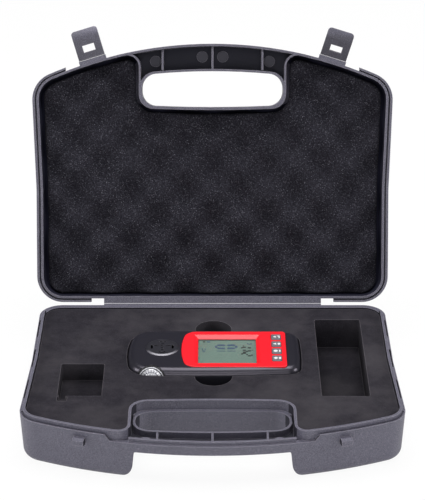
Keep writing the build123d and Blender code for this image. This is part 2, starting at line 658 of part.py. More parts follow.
def make_front_housing():
    """Front half of the body with its display, key, grille and lamp openings."""
    low = SPLIT + SEAL / 2
    inner_top = METER_THICKNESS - HOUSING_WALL
    body = meter_body() - meter_body(HOUSING_WALL)
    body -= block(-80, 80, -50, 50, -1, low)
    body += make_grips(low, METER_THICKNESS - FACE_EDGE_R - 1)
    posts = [(place, 3.2, low) for place in SCREW_PLACES]
    posts += [(place, 2.4, BOARD_TOP) for place in BOARD_SCREW_PLACES]
    for (u, v), radius, bottom in posts:
        body += cylinder(u, v, bottom, inner_top + 0.5, radius)
    recess = METER_THICKNESS - BEZEL_DEPTH
    body -= prism(bezel_plan(-FIT), recess, METER_THICKNESS + 1)
    frame = FRAME_BORDER + FIT
    body -= prism(window_plan(BEVEL_RUN_U + frame, BEVEL_RUN_V + frame), inner_top - 4,
                  METER_THICKNESS)
    for v in button_vs():
        body -= prism(Pos(BUTTON_U, v) * button_plan(FIT), inner_top - 1, METER_THICKNESS)
    body -= cylinder(GRILLE_U, GRILLE_V, inner_top - 1, METER_THICKNESS + 1, GRILLE_SEAT_R)
    body -= cylinder(GRILLE_U, GRILLE_V, METER_THICKNESS - GRILLE_RIM, METER_THICKNESS + 1,
                     GRILLE_R + 0.1)
    body -= lamp_barrel(LAMP_R + LAMP_GAP, LAMP_CUT, 10)
    for u, v in SCREW_PLACES:
        body -= cylinder(u, v, low - 1, 24.5, 1.35)
    for u, v in BOARD_SCREW_PLACES:
        body -= cylinder(u, v, BOARD_TOP - 1, 27.0, 1.0)
    return body


def make_grips(low, high):
    """Raised ridges on both long sides."""
    ridges = Part()
    for u in GRIP_US:
        half = METER_WIDTH / 2 - (u - SIDE_BOW_U) ** 2 / (2 * SIDE_BOW_R)
        for side in (-1, 1):
            ridges += cylinder(u, side * (half - GRIP_R + 0.4), low, high, GRIP_R)
    return ridges


def make_rear_housing():
    """Back half of the body with the battery tray, sensor cup and screw posts."""
    high = SPLIT - SEAL / 2
    body = meter_body() - meter_body(HOUSING_WALL)
    body -= block(-80, 80, -50, 50, high, METER_THICKNESS + 1)
    body += make_grips(BACK_EDGE_R + 1, high)
    tray_half = battery_half() + TRAY_WALL
    body += block(BAY_U0 - TRAY_WALL, BAY_U1 + TRAY_WALL, -tray_half, tray_half,
                  HOUSING_WALL - 0.5, high)
    ledge_half = battery_half() + 5.0
    body += block(BAY_U0 - 6, BAY_U1 + 8, -ledge_half, ledge_half, HOUSING_WALL - 0.5,
                  COVER_THICK + LEDGE_THICK)
    body += cylinder(cover_screw_u(), 0, HOUSING_WALL - 0.5, 9, 2.6)
    body -= block(BAY_U0, BAY_U1, -battery_half(), battery_half(), -1, high - TRAY_WALL)
    body -= make_cover_seat(FIT)
    body += cylinder(GRILLE_U, GRILLE_V, 1, CELL_BOTTOM + 3, CELL_R + 2)
    body -= cylinder(GRILLE_U, GRILLE_V, CELL_BOTTOM, 20, CELL_R + 0.2)
    for u, v in SCREW_PLACES:
        body += cylinder(u, v, 1, high, 3.8)
    for u, v in SCREW_PLACES:
        body -= cylinder(u, v, -1, 3.4, 3.0)
        body -= cylinder(u, v, -1, 20, 1.6)
    body -= lamp_barrel(LAMP_R + LAMP_GAP, LAMP_CUT, 10)
    body -= cylinder(cover_screw_u(), 0, 0, 8, 1.15)
    return body


def cover_screw_u():
    """Place of the battery cover's screw along the meter."""
    return BAY_U1 + TRAY_WALL + 3.0


def battery_half():
    """Half the width of the battery bay."""
    return AAA_PITCH * (CELL_COUNT - 1) / 2 + AAA_R + 0.4


def make_cover_seat(gap):
    """Space of the battery cover in the back face."""
    half = battery_half() + 2.0 + gap
    u0 = BAY_U0 - 3.5 - gap
    u1 = cover_screw_u() + 3.5 + gap
    plan = Pos((u0 + u1) / 2, 0) * RectangleRounded(u1 - u0, 2 * half, 2.0)
    return prism(plan, -1 if gap else 0, COVER_THICK)


def make_battery_cover():
    """Flat cover of the battery bay, flush with the back."""
    cover = make_cover_seat(0)
    cover -= cylinder(cover_screw_u(), 0, -1, 3, 1.4)
    cover -= cylinder(cover_screw_u(), 0, -1, 1.1, 2.5)
    return cover


def make_screw(u, v, head_low, head_high, head_r, tip, shaft_r):
    """Pan-head screw with a cross recess, entering from the back."""
    screw = cylinder(u, v, head_low, head_high, head_r)
    screw += cylinder(u, v, head_high - 0.1, tip, shaft_r)
    for turn in (0, 90):
        slot = Rot(0, 0, turn) * Box(head_r * 1.2, 0.6, 1.2)
        screw -= Pos(u, v, head_low) * slot
    return screw


def make_face_bezel():
    """Face plate with a bevelled display opening and the key holes."""
    low = METER_THICKNESS - BEZEL_DEPTH
    high = METER_THICKNESS + BEZEL_PROUD
    plate = prism(bezel_plan(), low, high)
    plate = chamfer(plate.faces().sort_by(Axis.Z)[-1].edges(), 0.4)
    frame_low = low - 0.5
    border = FRAME_BORDER
    plate += prism(window_plan(BEVEL_RUN_U + border, BEVEL_RUN_V + border), frame_low, low)
    top = Pos(0, 0, high) * window_plan(BEVEL_RUN_U, BEVEL_RUN_V)
    bottom = Pos(0, 0, frame_low) * window_plan(0, 0)
    plate -= loft([bottom.face(), top.face()])
    for v in button_vs():
        plate -= prism(Pos(BUTTON_U, v) * button_plan(FIT), low - 1, high + 1)
    return plate


def display_levels():
    """Underside heights of window, display, backlight and frame."""
    window = METER_THICKNESS - BEZEL_DEPTH - 0.5 - WINDOW_THICK
    display = window - LCD_THICK
    light = display - BACKLIGHT_THICK
    return window, display, light


def make_button(v):
    """Key with its retaining flange and stem."""
    inner_top = METER_THICKNESS - HOUSING_WALL
    top = METER_THICKNESS + BEZEL_PROUD + BUTTON_PROUD
    flange_top = inner_top - 0.1
    key = prism(button_plan(), flange_top - 0.5, top)
    key = fillet(key.faces().sort_by(Axis.Z)[-1].edges(), 0.35)
    key += prism(button_plan(BUTTON_FLANGE), flange_top - 1, flange_top)
    key += cylinder(0, 0, stem_end(), flange_top - 0.5, 1.8)
    return Pos(BUTTON_U, v) * key


def stem_end():
    """Lower end of a key's stem, clear of its switch by the travel."""
    return BOARD_TOP + SWITCH_HEIGHT + SWITCH_PLUNGER + BUTTON_TRAVEL + 0.1


def make_switches():
    """Switches under the keys."""
    group = []
    for v in button_vs():
        body = block(BUTTON_U - SWITCH / 2, BUTTON_U + SWITCH / 2, v - SWITCH / 2, v + SWITCH / 2,
                     BOARD_TOP, BOARD_TOP + SWITCH_HEIGHT)
        top = BOARD_TOP + SWITCH_HEIGHT
        group.append(body + cylinder(BUTTON_U, v, top - 0.5, top + SWITCH_PLUNGER, 1.6))
    return Compound(group)


def make_circuit_board():
    """Board that fills the front housing, cleared round posts, sensor and lamp."""
    board = prism(meter_plan(HOUSING_WALL + BOARD_GAP), BOARD_TOP - BOARD_THICK, BOARD_TOP)
    board -= cylinder(GRILLE_U, GRILLE_V, 10, 30, CELL_R + 0.6)
    for u, v in SCREW_PLACES:
        board -= cylinder(u, v, 10, 30, 3.6)
    for u, v in BOARD_SCREW_PLACES:
        board -= cylinder(u, v, 10, 30, 1.2)
    return board - lamp_barrel(LAMP_R + 0.8, -LAMP_DEPTH - 2, 10)


def make_board_chips():
    """Larger components on the board's underside."""
    low = BOARD_TOP - BOARD_THICK
    places = ((-8, 22, 7, 7, 1.2), (6, 24, 10, 6, 1.6), (24, 24, 5, 5, 1.0),
              (-10, -24, 8, 5, 2.0), (8, -25, 4, 4, 1.0), (22, -25, 9, 4, 1.4))
    group = []
    for u, v, length, width, height in places:
        group.append(block(u - length / 2, u + length / 2, v - width / 2, v + width / 2,
                           low - height, low))
    return Compound(group)


def make_sensor_grille():
    """Raised round cap with slots over the gas sensor."""
    seat = METER_THICKNESS - GRILLE_RIM
    skirt = METER_THICKNESS - HOUSING_WALL - GRILLE_SKIRT
    crown = METER_THICKNESS + GRILLE_DOME
    ceiling = METER_THICKNESS - 1.2
    neck = GRILLE_SEAT_R - 0.1
    bore = neck - 1.4
    outline = Polyline((0, ceiling), (bore, ceiling), (bore, skirt), (neck, skirt), (neck, seat),
                       (GRILLE_R, seat), (GRILLE_R, METER_THICKNESS),
                       (GRILLE_R - GRILLE_BEVEL, crown), (0, crown), close=True)
    cap = revolve(Plane.XZ * make_face(outline), Axis.Z)
    cap -= prism(grille_slots(), skirt, crown + 1)
    return Pos(GRILLE_U, GRILLE_V) * cap


def grille_slots():
    """Plan of the grille's slots: a middle column, two side bars and curved outer slots."""
    plan = Sketch()
    for v, length in ((8.6, 6.0), (5.2, 2.2), (2.2, 2.2), (-0.8, 2.2), (-3.8, 2.2)):
        plan += Pos(0, v) * SlotOverall(length, 1.0)
    for side in (-1, 1):
        plan += Pos(side * 4.6, 2.2) * SlotOverall(3.6, 1.0)
    ring = Circle(9.1) - Circle(7.5)
    wedge = Polygon((0, 0), (20, 6.5), (20, -6.5), align=None)
    for turn in (0, 180, 270):
        plan += ring & (Rot(0, 0, turn) * wedge)
    return plan


def make_sensor_gasket():
    """Ring that seals the grille's skirt to the sensor."""
    low = CELL_TOP + FILTER_THICK
    high = METER_THICKNESS - HOUSING_WALL - GRILLE_SKIRT
    ring = cylinder(GRILLE_U, GRILLE_V, low, high, GRILLE_SEAT_R - 0.1)
    return ring - cylinder(GRILLE_U, GRILLE_V, low - 1, high + 1, GRILLE_SEAT_R - 2.5)


def make_lamp_lens():
    """Clear lens that carries on the housing's rounded corner."""
    shell = meter_body(0.05) - meter_body(0.05 + LAMP_WALL)
    return shell & lamp_barrel(LAMP_R, LAMP_CUT, 10)


def make_lamp_reflector():
    """Bright cup behind the lens."""
    outer = LAMP_R - 0.1
    inner = outer - REFLECTOR_WALL
    floor = 1.2 - LAMP_DEPTH
    mouth = floor + 6.0
    dish = Pos(0, 0, (floor + mouth) / 2) * Cone(2.8, inner, mouth - floor)
    dish += Pos(0, 0, mouth + 10) * Cylinder(inner, 20)
    cup = lamp_barrel(outer, -LAMP_DEPTH, 8) - lamp_frame() * dish
    return cup & meter_body(0.05 + LAMP_WALL + 0.05)


def make_lamp_led():
    """Lamp in the middle of the cup."""
    floor = 1.2 - LAMP_DEPTH
    led = Pos(0, 0, floor + 0.8) * Cylinder(2.2, 1.6)
    led += Pos(0, 0, floor + 1.6) * Sphere(2.1)
    led -= Pos(0, 0, floor - 5) * Box(10, 10, 10)
    return lamp_frame() * led


def make_batteries():
    """Three cells side by side."""
    group = []
    for i in range(CELL_COUNT):
        v = (i - (CELL_COUNT - 1) / 2) * AAA_PITCH
        turn = 90 if i % 2 else -90
        cell = Cylinder(AAA_R, AAA_LENGTH - 0.8) + Pos(0, 0, AAA_LENGTH / 2) * Cylinder(1.9, 0.8)
        group.append(Pos(battery_u(), v, AAA_AXIS) * Rot(0, turn, 0) * cell)
    return Compound(group)


def battery_u():
    """Middle of the cells along the meter."""
    return BAY_U0 + CONTACT + 0.8 + AAA_LENGTH / 2


def make_contacts():
    """Contact plates at both ends of the bay."""
    half = battery_half() - 0.3
    low, high = 3.0, SPLIT - SEAL / 2 - TRAY_WALL
    left = block(BAY_U0, BAY_U0 + CONTACT, -half, half, low, high)
    right = block(BAY_U1 - CONTACT, BAY_U1, -half, half, low, high)
    return Compound([left, right])


def make_battery_springs():
    """Tapered coil springs, drawn as touching rings, at the tail end of the bay."""
    gap_start = battery_u() + AAA_LENGTH / 2 + 0.5
    gap_end = BAY_U1 - CONTACT
    group = []
    turns = 4
    for i in range(CELL_COUNT):
        v = (i - (CELL_COUNT - 1) / 2) * AAA_PITCH
        wire = (gap_end - gap_start) / (2 * turns)
        spring = Part()
        for k in range(turns):
            u = gap_end - wire * (2 * k + 1)
            ring = Torus(3.6 - 0.35 * k, wire * 1.05)
            spring += Pos(u, v, AAA_AXIS) * Rot(0, 90, 0) * ring
        spring &= block(gap_start, gap_end, -30, 30, 0, 30)
        group.append(spring)
    return Compound(group)


def place_meter(shape):
    """Move a meter part from its own frame into the case."""
    return Pos(METER_X, at_s(METER_S), METER_FACE - METER_THICKNESS) * shape


def make_meter_parts():
    """All the meter's pieces in the meter's own frame."""
    window_low, display_low, light_low = display_levels()
    seal_plan = meter_plan(0.7) - meter_plan(HOUSING_WALL - 0.2)
    seal = prism(seal_plan, SPLIT - SEAL / 2, SPLIT + SEAL / 2)
    seal -= lamp_barrel(LAMP_R + LAMP_GAP, LAMP_CUT, 10)
    lcd = window_plan(WINDOW_LAP + 2, WINDOW_LAP + 2)
    lcd += Pos((LCD_U0 + LCD_U1) / 2, -LCD_HALF - WINDOW_LAP - 2 - LCD_TERMINAL / 2) * Rectangle(
        LCD_U1 - LCD_U0, LCD_TERMINAL)
    frame = window_plan(WINDOW_LAP + 2, WINDOW_LAP + 2) - window_plan(-2, -2)
    strip_v = -LCD_HALF - WINDOW_LAP - 2 - LCD_TERMINAL / 2
    strip = Pos((LCD_U0 + LCD_U1) / 2, strip_v) * Rectangle(LCD_U1 - LCD_U0 - 2, 2.2)
    board_low = BOARD_TOP - BOARD_THICK
    screws = [make_screw(u, v, 1.4, 3.4, 2.8, 23.5, 1.25) for u, v in SCREW_PLACES]
    board_screws = [make_screw(u, v, board_low - 1.5, board_low, 2.1, 26.5, 0.9)
                    for u, v in BOARD_SCREW_PLACES]
    cover_screw = make_screw(cover_screw_u(), 0, 0.1, 1.1, 2.3, 7.0, 1.0)
    buzzer = cylinder(-4, 0, board_low - 5.0, board_low, 6.0)
    buzzer -= cylinder(-4, 0, board_low - 6.0, board_low - 4.0, 1.2)
    parts = {
        "front_housing": make_front_housing(),
        "rear_housing": make_rear_housing(),
        "housing_seal": seal,
        "face_bezel": make_face_bezel(),
        "display_window": prism(window_plan(WINDOW_LAP, WINDOW_LAP), window_low,
                                window_low + WINDOW_THICK),
        "display_glass": prism(lcd, display_low, window_low),
        "display_backlight": prism(window_plan(WINDOW_LAP + 2, WINDOW_LAP + 2), light_low,
                                   display_low),
        "display_frame": prism(frame, BOARD_TOP, light_low),
        "display_connector": prism(strip, BOARD_TOP, display_low),
        "circuit_board": make_circuit_board(),
        "board_chips": make_board_chips(),
        "key_switches": make_switches(),
        "sensor_grille": make_sensor_grille(),
        "sensor_gasket": make_sensor_gasket(),
        "sensor_filter": cylinder(GRILLE_U, GRILLE_V, CELL_TOP, CELL_TOP + FILTER_THICK, CELL_R),
        "sensor_cell": cylinder(GRILLE_U, GRILLE_V, CELL_BOTTOM, CELL_TOP, CELL_R),
        "buzzer": buzzer,
        "lamp_lens": make_lamp_lens(),
        "lamp_reflector": make_lamp_reflector(),
        "lamp_led": make_lamp_led(),
        "battery_cover": make_battery_cover(),
        "battery_cover_screw": cover_screw,
        "batteries": make_batteries(),
        "battery_contacts": make_contacts(),
        "battery_springs": make_battery_springs(),
        "housing_screws": Compound(screws),
        "board_screws": Compound(board_screws),
    }
    for number, v in enumerate(button_vs(), start=1):
        parts[f"button_{number}"] = make_button(v)
    return parts


def make_case_parts():
    """All the case's pieces at rest, with the lid open."""
    parts = {
        "base_shell": make_base_shell(),
        "hinge_web": make_hinge_web(),
        "foam_insert": make_foam_insert(),
        "foam_bottom_pad": make_foam_bottom_pad(),
        "lid_shell": open_lid(make_lid_closed()),
        "lid_foam": open_lid(make_lid_foam_closed()),
        "latch_left": open_lid(make_latch_closed_lid(-1, LATCH_REST[0])),
        "latch_right": open_lid(make_latch_closed_lid(1, LATCH_REST[1])),
    }
    return parts


def main():
    """Build every piece and write one file for each."""
    os.makedirs("parts", exist_ok=True)
    parts = make_case_parts()
    for name, shape in make_meter_parts().items():
        parts[name] = place_meter(shape)
    for name, shape in parts.items():
        export_step(shape, f"parts/{name}.step")
        print(name)


main()
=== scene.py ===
"""A handheld gas meter lying in the foam of its open carrying case."""

import json
import math

import bpy
from mathutils import Matrix, Vector


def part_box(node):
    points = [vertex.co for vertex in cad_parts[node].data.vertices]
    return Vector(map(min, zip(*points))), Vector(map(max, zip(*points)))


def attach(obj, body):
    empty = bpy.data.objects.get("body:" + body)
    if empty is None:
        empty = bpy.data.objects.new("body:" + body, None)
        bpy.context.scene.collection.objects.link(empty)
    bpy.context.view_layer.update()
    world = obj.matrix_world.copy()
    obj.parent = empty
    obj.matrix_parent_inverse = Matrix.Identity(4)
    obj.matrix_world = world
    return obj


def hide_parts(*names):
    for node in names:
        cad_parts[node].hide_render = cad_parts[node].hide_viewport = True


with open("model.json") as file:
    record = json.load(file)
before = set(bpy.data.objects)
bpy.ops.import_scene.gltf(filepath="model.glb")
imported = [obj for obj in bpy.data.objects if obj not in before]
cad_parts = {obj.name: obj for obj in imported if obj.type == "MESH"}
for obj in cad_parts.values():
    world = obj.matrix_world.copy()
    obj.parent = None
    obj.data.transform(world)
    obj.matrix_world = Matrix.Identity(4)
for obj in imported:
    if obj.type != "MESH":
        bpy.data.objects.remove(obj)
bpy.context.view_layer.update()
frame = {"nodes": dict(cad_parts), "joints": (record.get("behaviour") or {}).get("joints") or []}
nodes = frame["nodes"]

MM = 0.001

# The lid's hinge, whose far limit is the shut lid, and the turns between the open and the shut lid.
lid_hinge = next(joint for joint in frame["joints"] if joint["name"] == "lid_hinge")
HINGE_LINE = Vector(lid_hinge["pos_m"])
OPEN_ANGLE = math.radians(lid_hinge["range_deg"][1])
SHUT = (
    Matrix.Translation(HINGE_LINE)
    @ Matrix.Rotation(OPEN_ANGLE, 4, "X")
    @ Matrix.Translation(-HINGE_LINE)
)
OPEN = SHUT.inverted()

# Places and sizes from here on are in millimetres, unless they say otherwise, and those of the lid
# are with the lid shut.
BASE_MIDDLE = Vector((0, 0, 30))
LID_MIDDLE = Vector((0, 0, 38))

# Ejector pin marks inside the lid: place across, and distance in front of the hinge.
PIN_MARKS = ((-46.6, 199.6), (-8.4, 203.4), (8.4, 203.4), (46.6, 199.6))
PIN_FACE = 47.0

# Egg-crate foam: bump tops and back by height, depth of the hollows, spacing and first bump, and
# the size of the cells it is remade with.  Cut foam: how far its corners have gone soft.
CRATE_PEAK = 42.4
CRATE_BACK = 55.0
CRATE_DEPTH = 8.6
CRATE_HALF_PITCH = (22.4, 22.0)
CRATE_START = (-89.6, -26.5)
CRATE_CELL = 2.0
CUT_FOAM_SOFTNESS = 0.7

# The meter's own origin in the case, and its lamp, whose glass ends at LENS_REACH of LAMP_SPAN.
METER_PLACE = Vector((1.3, 23.4, 10.3))
LAMP_CENTRE = (METER_PLACE + Vector((-48.5, -33.2, 22.0))) * MM
LAMP_AXIS = Vector((-0.1261, -0.8975, 0.4226))
LAMP_ACROSS = LAMP_AXIS.cross(Vector((0, 0, 1))).normalized()
LAMP_DOWN = LAMP_AXIS.cross(LAMP_ACROSS).normalized()
LENS_REACH = 0.43

# The lengths, in metres, over which colour ramps run, and where a pin mark fades on its own.
LATCH_SPAN = 0.25
FOAM_SPAN = 0.05
LAMP_SPAN = 0.02
PIN_SPAN = 0.01
PIN_EDGE = (0.44, 0.47)

# Seven-segment digits: right, up and whether the bar is upright; then the bars of each digit.
SEGMENTS = {
    "top": (0.5, 1.0, False),
    "middle": (0.5, 0.5, False),
    "bottom": (0.5, 0.0, False),
    "upper_left": (0.0, 0.75, True),
    "upper_right": (1.0, 0.75, True),
    "lower_left": (0.0, 0.25, True),
    "lower_right": (1.0, 0.25, True),
}
SHOWN = {
    0: ("top", "bottom", "upper_left", "upper_right", "lower_left", "lower_right"),
    2: ("top", "upper_right", "middle", "lower_left", "bottom"),
    4: ("upper_left", "upper_right", "middle", "lower_right"),
    7: ("top", "upper_right", "lower_right"),
}

# The display's marks: each digit with its start across the meter, and bars by place and lengths.
READING = ((2, -5.3), (4, -0.4), (7, 4.5))
READING_BARS = (
    (30.0, 3.2, 1.2, 1.1),
    (23.2, 10.4, 1.3, 1.2),
    (-8.0, 17.0, 2.0, 2.2),
)
FAINT_AND_SHADOW_BARS = (
    # The first two bars are a painted shadow of the faint 0's left strokes.
    (13.6, 1.9, 6.6, 0.9),
    (5.4, 1.9, 6.6, 0.9),
    (-4.4, 16.8, 3.0, 1.8),
    (27.9, 12.8, 2.2, 0.9),
    (26.5, 13.9, 0.9, 1.8),
    (29.3, 13.9, 0.9, 1.8),
    (-9.3, 4.9, 0.9, 2.2),
    (-7.0, 4.9, 0.9, 2.2),
    (-8.1, 2.2, 2.8, 1.0),
    (-8.1, 0.6, 1.8, 1.0),
)
BAR_THICK = 0.05
DISPLAY_CLEARANCE = 0.01

# Key signs, from the key's middle.  A spot is its place along the meter, radius, sides and turn.
# A bar is its place along and across, its two lengths and the trim of its corners.
KEYS = (1, 2, 3, 4)
KEY_SPOTS = {
    1: (-0.9, 1.7, 3, math.pi / 2),
    2: (-0.9, 1.8, 3, math.pi / 2),
    3: (-0.8, 1.7, 20, 0.0),
    4: (-0.9, 1.9, 4, 0.0),
}
KEY_BARS = {
    1: ((1.9, 1.2, 2.2, 1.1, 0.3), (2.6, -0.6, 1.0, 2.8, 0.3)),
    2: ((2.1, 0.0, 2.1, 3.1, 0.35),),
    3: ((2.4, 0.0, 1.2, 3.2, 0.3),),
    4: ((2.3, 0.0, 1.7, 3.3, 0.35),),
}
SPOT_THICK = 0.06
KEY_CLEARANCE = 0.005

# The studio, in metres.  Lights: name, place, aim, width and power.
LIGHTS = (
    ("top_softbox", (0, 0.35, 2.0), (0, 0.03, 0.05), 1.6, 40),
    ("left_strip", (-1.7, -0.2, 0.8), (0, 0.05, 0.08), 0.7, 13),
    ("right_strip", (1.7, -0.2, 0.8), (0, 0.05, 0.08), 0.7, 13),
    ("front_softbox", (0, -2.1, 0.5), (0, 0.05, 0.08), 0.8, 8),
    ("high_front_softbox", (0, -1.5, 1.5), (0, 0.0, 0.04), 0.8, 6),
)
FLOOR_WIDTH = 12
FLOOR_OWN_LIGHT = 0.93
AIR_LIGHT = 0.1
CAMERA_PLACE = (0, -1.3062, 0.7797)
CAMERA_DIP = 26.11
CAMERA_LENS = 139.31


# ---------------------------------------------------------------- handling

def put_down():
    """Leave edit mode with nothing selected."""
    active = bpy.context.view_layer.objects.active
    if active and active.mode != "OBJECT":
        bpy.ops.object.mode_set(mode="OBJECT")
    bpy.ops.object.select_all(action="DESELECT")


def pick(*pieces):
    """Select these pieces only."""
    put_down()
    for piece in pieces:
        piece.select_set(True)
    bpy.context.view_layer.objects.active = pieces[0]


def take(name):
    """Name the piece that was just added and put it at the origin, with its place in its mesh."""
    piece = bpy.context.view_layer.objects.active
    bpy.ops.object.transform_apply(location=True, rotation=True, scale=True)
    piece.name = name
    piece.data.name = name
    return piece


def copy_of(node, name):
    """A loose copy of a CAD node's mesh, merged into closed faces."""
    piece = bpy.data.objects.new(name, nodes[node].data.copy())
    bpy.context.scene.collection.objects.link(piece)
    pick(piece)
    bpy.ops.object.mode_set(mode="EDIT")
    bpy.ops.mesh.select_all(action="SELECT")
    bpy.ops.mesh.remove_doubles(threshold=1e-6)
    bpy.ops.object.mode_set(mode="OBJECT")
    piece.data.materials.clear()
    return piece


def one_piece(name, parts):
    """Join loose parts into one piece."""
    pick(*parts)
    bpy.ops.object.join()
    return take(name)


def on_meter(u, v, w):
    """A place on the meter, in metres."""
    return (METER_PLACE + Vector((u, v, w))) * MM


# ---------------------------------------------------------------- shader steps

def seen(r, g, b):
    """A colour as the eye sees it, 0 to 255, in the shader's terms."""
    out = []
    for c in (r, g, b):
        c /= 255
        out.append(c / 12.92 if c <= 0.04045 else ((c + 0.055) / 1.055) ** 2.4)
    return (*out, 1.0)


def grey(value):
    """An even grey, or a plain number as a colour."""
    return (value, value, value, 1)


def scaled(colour, factor):
    """A colour made lighter or darker."""
    return tuple(min(1.0, c * factor) for c in colour[:3]) + (1,)


def begin(name, roughness, **sockets):
    """A new finish: its node tree, its shader and its place on the piece."""
    finish = bpy.data.materials.new(name)
    finish.use_nodes = True
    tree = finish.node_tree
    shader = tree.nodes["Principled BSDF"]
    shader.inputs["Roughness"].default_value = roughness
    for key, value in sockets.items():
        shader.inputs[key.replace("_", " ")].default_value = value
    place = tree.nodes.new("ShaderNodeTexCoord").outputs["Object"]
    return finish, tree, shader, place


def feed(tree, socket, value):
    """Link a value to a socket, or set it where it is a plain number, vector or colour."""
    if hasattr(value, "node"):
        tree.links.new(value, socket)
    else:
        socket.default_value = value


def maths(tree, kind, a, b=None):
    """One step of arithmetic."""
    node = tree.nodes.new("ShaderNodeMath")
    node.operation = kind
    feed(tree, node.inputs[0], a)
    if b is not None:
        feed(tree, node.inputs[1], b)
    return node.outputs[0]


def vector_maths(tree, kind, a, b=None, result="Value"):
    """One step of vector arithmetic."""
    node = tree.nodes.new("ShaderNodeVectorMath")
    node.operation = kind
    feed(tree, node.inputs[0], a)
    if b is not None:
        feed(tree, node.inputs[1], b)
    return node.outputs[result]


def counted(tree, distance, span):
    """A distance counted so that the span makes 1, as a colour ramp needs."""
    return maths(tree, "MULTIPLY", distance, 1 / span)


def part_of(tree, vector, axis):
    """One coordinate of a vector."""
    node = tree.nodes.new("ShaderNodeSeparateXYZ")
    tree.links.new(vector, node.inputs["Vector"])
    return node.outputs[axis]


def spread(tree, value, start, end, low=0.0, high=1.0):
    """A value between start and end, spread from low to high and held beyond them."""
    node = tree.nodes.new("ShaderNodeMapRange")
    node.inputs["From Min"].default_value = start
    node.inputs["From Max"].default_value = end
    node.inputs["To Min"].default_value = low
    node.inputs["To Max"].default_value = high
    tree.links.new(value, node.inputs["Value"])
    return node.outputs["Result"]


def ramp(tree, value, stops):
    """Colours along a value, as (position, colour)."""
    node = tree.nodes.new("ShaderNodeValToRGB")
    steps = node.color_ramp.elements
    steps[0].position, steps[0].color = stops[0]
    steps[1].position, steps[1].color = stops[-1]
    for position, colour in stops[1:-1]:
        steps.new(position).color = colour
    tree.links.new(value, node.inputs["Fac"])
    return node.outputs["Color"]


def step(tree, value, start, end, low, high):
    """One colour up to start and another from end on."""
    return ramp(tree, value, ((0.0, low), (start, low), (end, high)))


def blended(tree, kind, amount, a, b):
    """Mix two colours."""
    node = tree.nodes.new("ShaderNodeMix")
    node.data_type = "RGBA"
    node.blend_type = kind
    for socket, value in ((node.inputs[0], amount), (node.inputs[6], a), (node.inputs[7], b)):
        feed(tree, socket, value)
    return node.outputs[2]


def grain(tree, place, size_mm, detail=3.0, roughness=0.6):
    """Cloudy grain with features of this size."""
    node = tree.nodes.new("ShaderNodeTexNoise")
    node.inputs["Scale"].default_value = 1000 / size_mm
    node.inputs["Detail"].default_value = detail
    node.inputs["Roughness"].default_value = roughness
    tree.links.new(place, node.inputs["Vector"])
    return node.outputs["Fac"]


def rounded(tree, round_mm, samples):
    """The surface's direction with its edges rounded this much."""
    edge = tree.nodes.new("ShaderNodeBevel")
    edge.samples = samples
    edge.inputs["Radius"].default_value = round_mm * MM
    return edge.outputs["Normal"]


def raised(tree, shader, height, strength, depth_mm, round_mm=0.0):
    """Raise the surface by a value, over edges that are rounded a little."""
    bump = tree.nodes.new("ShaderNodeBump")
    bump.inputs["Strength"].default_value = strength
    bump.inputs["Distance"].default_value = depth_mm * MM
    tree.links.new(height, bump.inputs["Height"])
    if round_mm:
        tree.links.new(rounded(tree, round_mm, 4), bump.inputs["Normal"])
    tree.links.new(bump.outputs["Normal"], shader.inputs["Normal"])


def edge_highlight_mask(tree, round_mm, start=0.985, end=0.85):
    """1 along the edges of a piece and 0 on its flats, where a painted highlight goes."""
    flat = tree.nodes.new("ShaderNodeNewGeometry").outputs["True Normal"]
    match = vector_maths(tree, "DOT_PRODUCT", rounded(tree, round_mm, 6), flat)
    return spread(tree, match, start, end)


# ---------------------------------------------------------------- case and foam finishes

def inside_shade_mask(tree, place, middle):
    """1 on a shell's inside faces, which turn towards its middle, and 0 on its outside and rim; it
    places the painted shade.
    """
    inwards = vector_maths(tree, "SUBTRACT", middle, place, result="Vector")
    facing = vector_maths(tree, "DOT_PRODUCT", inwards, place.node.outputs["Normal"])
    return spread(tree, facing, 0.5 * MM, 2 * MM)


def case_finish(name, middle=None, inside_shade=None, pin_marks=(), height_shade=()):
    """Spark-textured polypropylene with a painted highlight along its edges.

    A shell with a middle has a smoother inside, darkened as painted shade.  Pin marks are the discs that
    ejector pins leave.  The plastic can also be made lighter or darker at a few heights, with LATCH_SPAN
    as 1, as painted light and shade.
    """
    finish, tree, shader, place = begin(name, 0.5)
    fine = grain(tree, place, 0.55, 3, 0.7)
    cloud = grain(tree, place, 45, 2)
    specks = ((0.34, seen(68, 66, 80)), (0.5, seen(88, 86, 100)), (0.66, seen(124, 122, 137)))
    tint = ramp(tree, fine, specks)
    haze = ramp(tree, cloud, ((0.3, grey(0.92)), (0.7, grey(1))))
    colour = blended(tree, "MULTIPLY", 1.0, tint, haze)
    if height_shade:
        # Painted light and shade: the plastic is made lighter or darker by height, as light falls on the
        # latch.
        height = counted(tree, part_of(tree, place, "Z"), LATCH_SPAN)
        painted_height_shade = ramp(tree, height, [(z, grey(light)) for z, light in height_shade])
        colour = blended(tree, "MULTIPLY", 1.0, colour, painted_height_shade)
    if middle is not None:
        inside_mask = inside_shade_mask(tree, place, middle)
        # Painted shade: the inside faces take the darker inside colour.
        colour = blended(tree, "MIX", inside_mask, colour, inside_shade)
        tree.links.new(spread(tree, inside_mask, 0, 1, 0.5, 0.2), shader.inputs["Specular IOR Level"])
    for centre in pin_marks:
        off = counted(tree, vector_maths(tree, "DISTANCE", place, centre), PIN_SPAN)
        disc = step(tree, off, *PIN_EDGE, grey(1), grey(0))
        colour = blended(tree, "MIX", disc, colour, seen(84, 83, 93))
    # Painted highlight: the edges are made paler, as where light catches them.
    edge_lit_colour = blended(tree, "MIX", edge_highlight_mask(tree, 0.5), colour, seen(158, 154, 166))
    tree.links.new(edge_lit_colour, shader.inputs["Base Color"])
    raised(tree, shader, fine, 0.35, 0.08, 0.5)
    return finish


